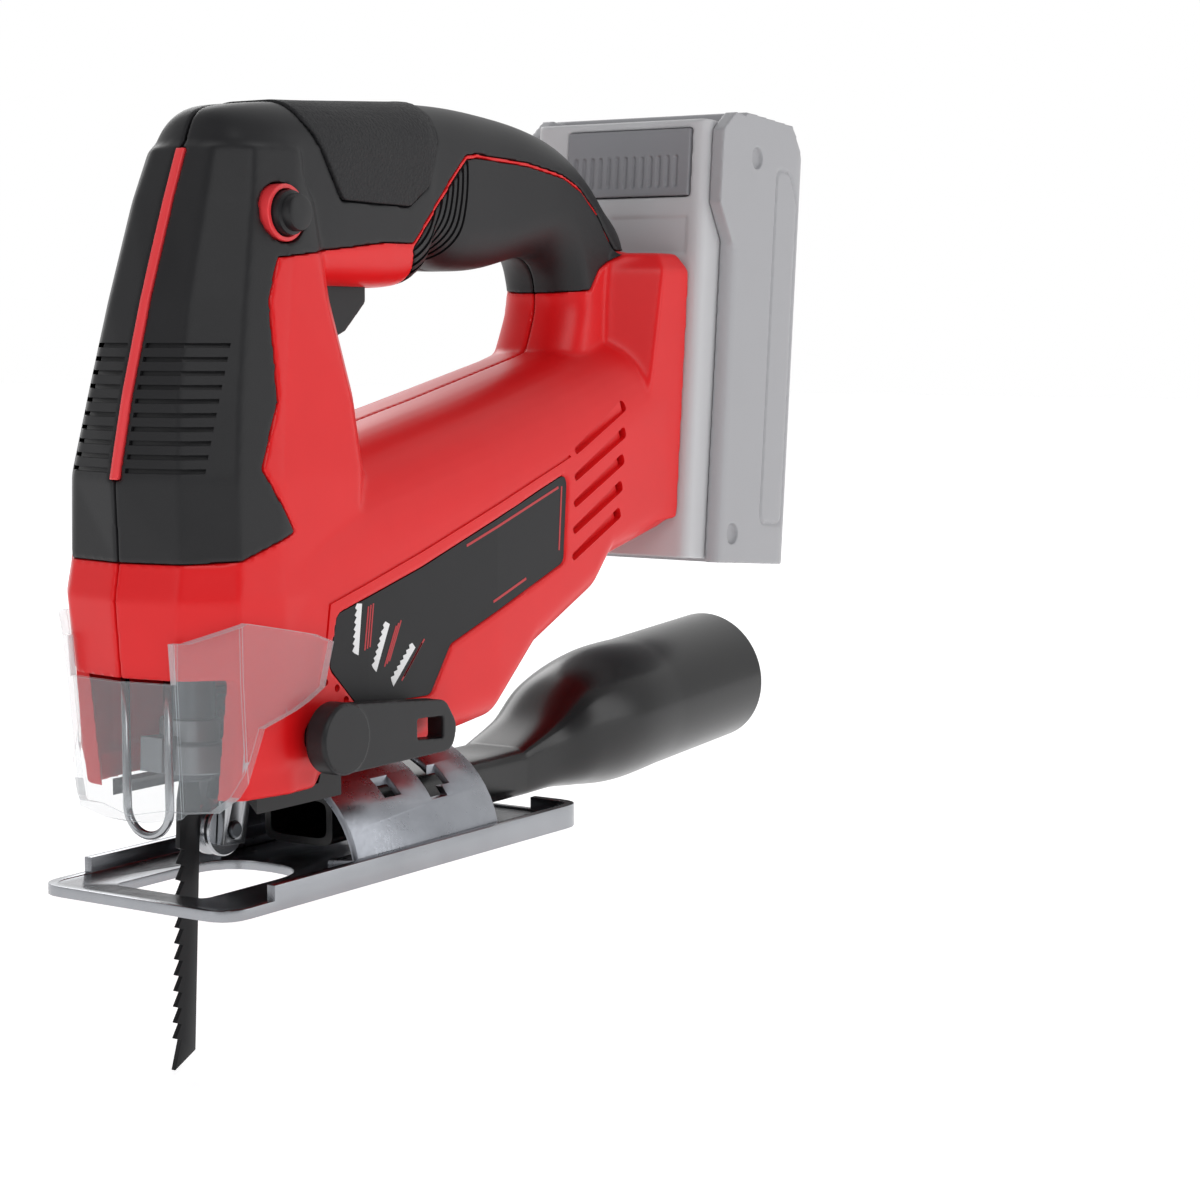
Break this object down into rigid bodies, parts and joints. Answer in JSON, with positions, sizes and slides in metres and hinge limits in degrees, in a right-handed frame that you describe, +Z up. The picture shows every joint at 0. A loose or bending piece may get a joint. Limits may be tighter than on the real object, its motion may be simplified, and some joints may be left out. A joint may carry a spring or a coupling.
{
  "type": "cordless jigsaw",
  "caption": "Cordless orbital-action jigsaw with removable battery pack, bevelling foot, clear chip guard, keyless blade clamp, saw blade and fitted suction adapter.",
  "frame": {"origin": "centre of the sole, the underside of the foot plate, on the cutting plane", "axes": "+X from the nose towards the battery, +Y to the right-hand side seen from behind the battery, +Z up away from the work; the blade hangs below the sole in -Z"},
  "size_m": [0.2802, 0.0757, 0.2512],
  "materials": {
    "red_plastic": "satin moulded plastic with a very fine grain",
    "black_plastic": "satin black moulded plastic",
    "soft_grip": "fine-grained dull black over-moulding",
    "grain_pad": "coarse sandy anti-slip grain",
    "steel": "bright zinc-plated steel",
    "dark_steel": "dark phosphated steel",
    "blade_black": "black coated tool steel",
    "clear": "clear polycarbonate",
    "gloss_black": "glossy black plastic",
    "pack_grey": "pale grey moulded plastic",
    "pack_dark": "mid grey moulded plastic",
    "bronze": "sintered bronze and copper"
  },
  "bodies": {
    "housing": {"housing_left": "red_plastic", "housing_right": "red_plastic", "hood_left": "soft_grip", "hood_right": "soft_grip", "rear_grip_left": "soft_grip", "rear_grip_right": "soft_grip", "nose_stripe": "red_plastic", "grip_pad": "grain_pad", "label_left": "black_plastic", "label_right": "black_plastic", "housing_screw_1": "dark_steel", "housing_screw_2": "dark_steel", "housing_screw_3": "dark_steel", "housing_screw_4": "dark_steel", "motor_can": "dark_steel", "motor_end_cap": "black_plastic", "rear_bearing": "steel", "gear_case": "dark_steel", "front_bearing": "steel", "lower_bush": "bronze", "upper_bush": "bronze", "fork_pin": "steel", "finger_guard_wire": "steel", "skirt_left": "black_plastic", "skirt_right": "black_plastic", "switch_body": "black_plastic", "lock_button_bezel": "red_plastic", "tilt_bolt": "dark_steel", "tilt_nut_plate": "steel", "terminal_block": "black_plastic"},
    "armature": {"armature_core": "bronze", "cooling_fan": "black_plastic", "pinion_shaft": "steel"},
    "gear": {"drive_gear": "steel"},
    "ram": {"plunger": "steel", "yoke": "dark_steel", "blade_clamp": "dark_steel", "saw_blade": "blade_black"},
    "collar": {"clamp_collar": "steel"},
    "fork": {"roller_fork": "steel", "roller_axle": "dark_steel"},
    "roller": {"guide_roller": "steel"},
    "trigger": {"trigger": "black_plastic"},
    "lock": {"lock_button": "black_plastic"},
    "lever": {"pendulum_lever": "black_plastic"},
    "guard": {"chip_guard": "clear"},
    "foot": {"foot_plate": "steel", "saddle": "steel"},
    "adapter": {"suction_adapter": "gloss_black"},
    "battery": {"pack_case_front": "pack_grey", "pack_case_rear": "pack_dark", "pack_board": "pack_dark", "battery_cell_1": "bronze", "battery_cell_2": "bronze", "battery_cell_3": "bronze", "battery_cell_4": "bronze", "battery_cell_5": "bronze"},
    "battery_button": {"pack_button": "pack_dark"}
  },
  "joints": [
    {"name": "motor_spin", "type": "hinge", "parent": "housing", "child": "armature", "pos_m": [0.02, 0, 0.086], "axis": [1, 0, 0], "continuous": true},
    {"name": "gear_spin", "type": "hinge", "parent": "housing", "child": "gear", "pos_m": [-0.033, 0, 0.1124], "axis": [1, 0, 0], "continuous": true},
    {"name": "blade_stroke", "type": "slide", "parent": "housing", "child": "ram", "axis": [0.0523, 0, 0.9986], "range_m": [0, 0.02]},
    {"name": "collar_release", "type": "hinge", "parent": "ram", "child": "collar", "pos_m": [-0.05357, 0, 0.03495], "axis": [0.0523, 0, 0.9986], "range_deg": [0, 50], "stiffness_Nm_per_rad": 0.02, "springref_deg": -5.73},
    {"name": "fork_swing", "type": "hinge", "parent": "housing", "child": "fork", "pos_m": [-0.037, 0, 0.046], "axis": [0, 1, 0], "range_deg": [-5, 0]},
    {"name": "roller_spin", "type": "hinge", "parent": "fork", "child": "roller", "pos_m": [-0.04351, 0, 0.015], "axis": [0, 1, 0], "continuous": true},
    {"name": "trigger_press", "type": "slide", "parent": "housing", "child": "trigger", "axis": [0, 0, 1], "range_m": [0, 0.006], "stiffness_N_per_m": 400, "springref_m": -0.004},
    {"name": "lock_press", "type": "slide", "parent": "housing", "child": "lock", "axis": [0, 1, 0], "range_m": [0, 0.004], "stiffness_N_per_m": 300, "springref_m": -0.002},
    {"name": "pendulum_select", "type": "hinge", "parent": "housing", "child": "lever", "pos_m": [-0.0405, -0.03, 0.0406], "axis": [0, -1, 0], "range_deg": [0, 70]},
    {"name": "guard_removal", "type": "slide", "parent": "housing", "child": "guard", "axis": [-1, 0, 0], "range_m": [0, 0.03]},
    {"name": "foot_tilt", "type": "hinge", "parent": "housing", "child": "foot", "pos_m": [0, 0, 0], "axis": [1, 0, 0], "range_deg": [-45, 45]},
    {"name": "adapter_removal", "type": "slide", "parent": "foot", "child": "adapter", "axis": [1, 0, 0], "range_m": [0, 0.09]},
    {"name": "battery_removal", "type": "slide", "parent": "housing", "child": "battery", "axis": [0.0872, 0, 0.9962], "range_m": [0, 0.075]},
    {"name": "battery_release", "type": "slide", "parent": "battery", "child": "battery_button", "axis": [0.9962, 0, -0.0872], "range_m": [0, 0.004], "stiffness_N_per_m": 300, "springref_m": -0.002}
  ],
  "couplings": [
    {"joint": "gear_spin", "follows": "motor_spin", "ratio": -0.2}
  ]
}
